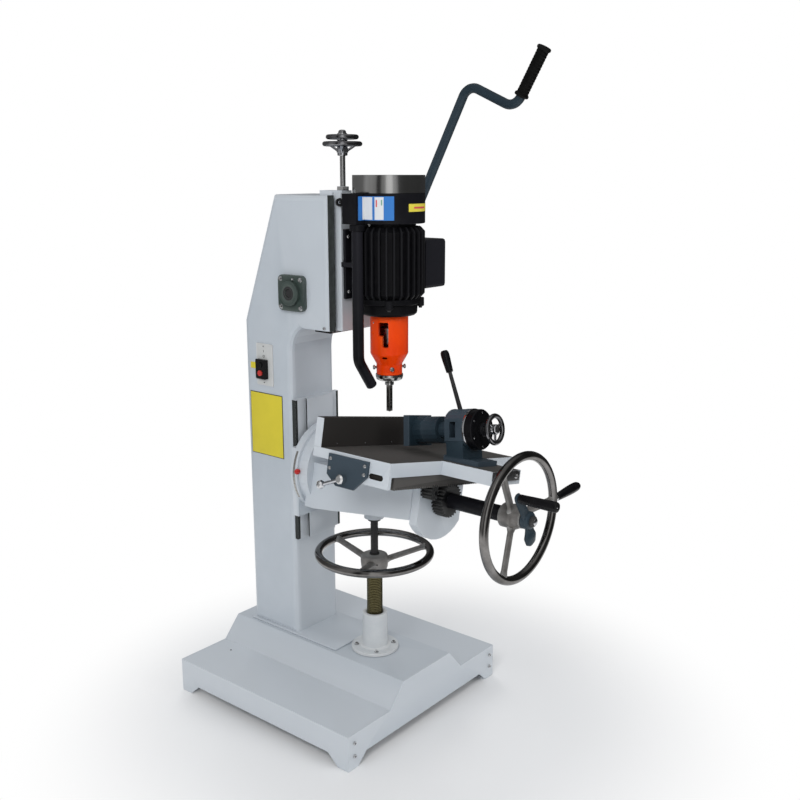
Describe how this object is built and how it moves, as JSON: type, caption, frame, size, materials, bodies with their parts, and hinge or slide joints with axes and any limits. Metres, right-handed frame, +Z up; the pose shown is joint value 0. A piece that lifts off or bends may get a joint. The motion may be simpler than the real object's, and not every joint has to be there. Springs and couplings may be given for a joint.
{
  "type": "mortiser",
  "caption": "Floor-standing hollow chisel mortiser with lever-fed motor head, tilting cross table, handwheels and a clamping vise.",
  "frame": {"origin": "centre of the bounding box on the floor", "axes": "+Z up along the column, -Y toward the operator and the large handwheel, +X toward the feed lever"},
  "size_m": [0.65, 1.077, 1.7983],
  "materials": {
    "green_grey_paint": "dark green-grey paint",
    "machined_iron": "ground cast iron",
    "light_grey_paint": "smooth pale blue-grey paint",
    "black_paint": "satin black paint",
    "orange_paint": "gloss orange paint",
    "blue_grey_paint": "hammered blue-grey paint",
    "brushed_steel": "turned and ground steel",
    "chrome": "polished chrome plate",
    "brass": "bronze-toned threaded steel",
    "black_rubber": "black rubber",
    "white_plastic": "off-white plastic",
    "black_plastic": "black plastic",
    "red_plastic": "red plastic"
  },
  "bodies": {
    "frame": {"base_shell": "light_grey_paint", "base_front_plate": "light_grey_paint", "base_rear_plate": "light_grey_paint", "column": "light_grey_paint", "stop_bracket": "brushed_steel", "head_way": "machined_iron", "knee_way": "machined_iron", "bearing_flange_left": "green_grey_paint", "bearing_flange_right": "green_grey_paint", "switch_plate": "white_plastic", "screw_pedestal": "light_grey_paint"},
    "start_button": {"start_button": "black_plastic"},
    "stop_button": {"stop_button": "red_plastic"},
    "head": {"head_slide": "light_grey_paint", "feed_rack": "brushed_steel", "motor_bracket": "black_paint", "motor_body": "black_paint", "motor_end_bell": "black_paint", "blower_housing": "black_paint", "blower_cap": "brushed_steel", "terminal_box": "black_paint", "terminal_lid": "black_paint", "chisel_housing": "orange_paint", "chisel_collar": "brushed_steel", "hollow_chisel": "brushed_steel", "air_pipe": "black_paint", "depth_stop_rod": "brushed_steel"},
    "spindle": {"blower_impeller": "brushed_steel", "spindle_chuck": "brushed_steel", "auger_bit": "brushed_steel"},
    "stop_wheel": {"stop_wheel": "chrome"},
    "stop_lock_wheel": {"stop_lock_wheel": "chrome"},
    "feed_lever": {"pinion_shaft": "brushed_steel", "feed_lever": "blue_grey_paint", "lever_grip": "black_rubber"},
    "knee": {"knee_saddle": "light_grey_paint"},
    "lift_wheel": {"lift_screw": "brass", "lift_handwheel": "chrome"},
    "arm": {"knee_arm": "light_grey_paint", "arm_end_plate": "light_grey_paint"},
    "cross_slide": {"cross_slide": "light_grey_paint"},
    "table": {"table": "machined_iron", "fence": "machined_iron", "table_rack": "brushed_steel", "lock_plate": "blue_grey_paint", "vise_body": "blue_grey_paint", "vise_cover": "black_paint"},
    "lock_lever": {"lock_lever": "chrome"},
    "table_wheel": {"table_gear_shaft": "brushed_steel", "table_handwheel": "chrome"},
    "wheel_grip": {"wheel_grip": "black_plastic"},
    "idler": {"idler_gear": "brushed_steel"},
    "crank": {"cross_screw": "brushed_steel", "crank": "blue_grey_paint"},
    "crank_grip": {"crank_grip": "black_plastic"},
    "vise_jaw": {"vise_jaw": "blue_grey_paint"},
    "vise_wheel": {"vise_handwheel": "chrome"},
    "quick_lever": {"quick_lever": "black_plastic"}
  },
  "joints": [
    {"name": "start_press", "type": "slide", "parent": "frame", "child": "start_button", "axis": [1, 0, 0], "range_m": [0, 0.0025], "stiffness_N_per_m": 200},
    {"name": "stop_press", "type": "slide", "parent": "frame", "child": "stop_button", "axis": [1, 0, 0], "range_m": [0, 0.0025], "stiffness_N_per_m": 200},
    {"name": "head_feed", "type": "slide", "parent": "frame", "child": "head", "axis": [0, 0, 1], "range_m": [-0.075, 0]},
    {"name": "feed_lever_turn", "type": "hinge", "parent": "frame", "child": "feed_lever", "pos_m": [0.255, 0.2755, 1.17], "axis": [1, 0, 0], "range_deg": [-0.5, 72.5]},
    {"name": "spindle_spin", "type": "hinge", "parent": "head", "child": "spindle", "pos_m": [0, 0.0125, 1.2], "axis": [0, 0, 1], "continuous": true},
    {"name": "stop_wheel_turn", "type": "hinge", "parent": "head", "child": "stop_wheel", "pos_m": [-0.05, 0.1245, 1.55], "axis": [0, 0, 1], "continuous": true},
    {"name": "stop_lock_turn", "type": "hinge", "parent": "head", "child": "stop_lock_wheel", "pos_m": [-0.05, 0.1245, 1.58], "axis": [0, 0, 1], "continuous": true},
    {"name": "knee_lift", "type": "slide", "parent": "frame", "child": "knee", "axis": [0, 0, 1], "range_m": [-0.1, 0]},
    {"name": "lift_screw_turn", "type": "hinge", "parent": "knee", "child": "lift_wheel", "pos_m": [0, 0.0695, 0.451], "axis": [0, 0, 1], "range_deg": [-6010, 10]},
    {"name": "arm_tilt", "type": "hinge", "parent": "knee", "child": "arm", "pos_m": [0, 0.2395, 0.67], "axis": [0, 1, 0], "range_deg": [-11.1, 3.9]},
    {"name": "cross_feed", "type": "slide", "parent": "arm", "child": "cross_slide", "axis": [0, 1, 0], "range_m": [0, 0.012]},
    {"name": "crank_turn", "type": "hinge", "parent": "arm", "child": "crank", "pos_m": [-0.00231, -0.4205, 0.65822], "axis": [0, 1, 0], "range_deg": [-870, 6]},
    {"name": "crank_grip_spin", "type": "hinge", "parent": "crank", "child": "crank_grip", "pos_m": [-0.05034, -0.4405, 0.72716], "axis": [0, 1, 0], "continuous": true},
    {"name": "table_feed", "type": "slide", "parent": "cross_slide", "child": "table", "axis": [0.9813, 0, -0.1925], "range_m": [-0.12, 0.12]},
    {"name": "table_wheel_turn", "type": "hinge", "parent": "arm", "child": "table_wheel", "pos_m": [-0.00231, -0.4065, 0.65822], "axis": [0, 1, 0], "range_deg": [-165, 165]},
    {"name": "wheel_grip_spin", "type": "hinge", "parent": "table_wheel", "child": "wheel_grip", "pos_m": [0.17351, -0.4065, 0.66621], "axis": [0.999, 0, 0.0454], "continuous": true},
    {"name": "idler_turn", "type": "hinge", "parent": "arm", "child": "idler", "pos_m": [-0.07315, -0.1805, 0.69709], "axis": [0, 1, 0], "range_deg": [-419, 419]},
    {"name": "lock_lever_turn", "type": "hinge", "parent": "table", "child": "lock_lever", "pos_m": [-0.27047, -0.0665, 0.75669], "axis": [-0.9813, 0, 0.1925], "range_deg": [-30, 30]},
    {"name": "vise_close", "type": "slide", "parent": "table", "child": "vise_jaw", "axis": [-0.0315, 0.9865, -0.1608], "range_m": [-0.03, 0.005]},
    {"name": "vise_wheel_turn", "type": "hinge", "parent": "table", "child": "vise_wheel", "pos_m": [0.03697, -0.30148, 0.85844], "axis": [-0.0315, 0.9865, -0.1608], "range_deg": [-2710, 460]},
    {"name": "quick_lever_turn", "type": "hinge", "parent": "table", "child": "quick_lever", "pos_m": [0.04019, -0.19784, 0.87487], "axis": [0.9813, 0, -0.1925], "range_deg": [-6, 6]}
  ],
  "couplings": [
    {"joint": "feed_lever_turn", "follows": "head_feed", "rad_per_m": -16.667},
    {"joint": "lift_screw_turn", "follows": "knee_lift", "rad_per_m": 1047.2},
    {"joint": "crank_turn", "follows": "cross_feed", "rad_per_m": -1256.6},
    {"joint": "table_wheel_turn", "follows": "table_feed", "rad_per_m": 23.81},
    {"joint": "idler_turn", "follows": "table_feed", "rad_per_m": 60.606},
    {"joint": "vise_wheel_turn", "follows": "vise_close", "rad_per_m": 1570.8}
  ]
}
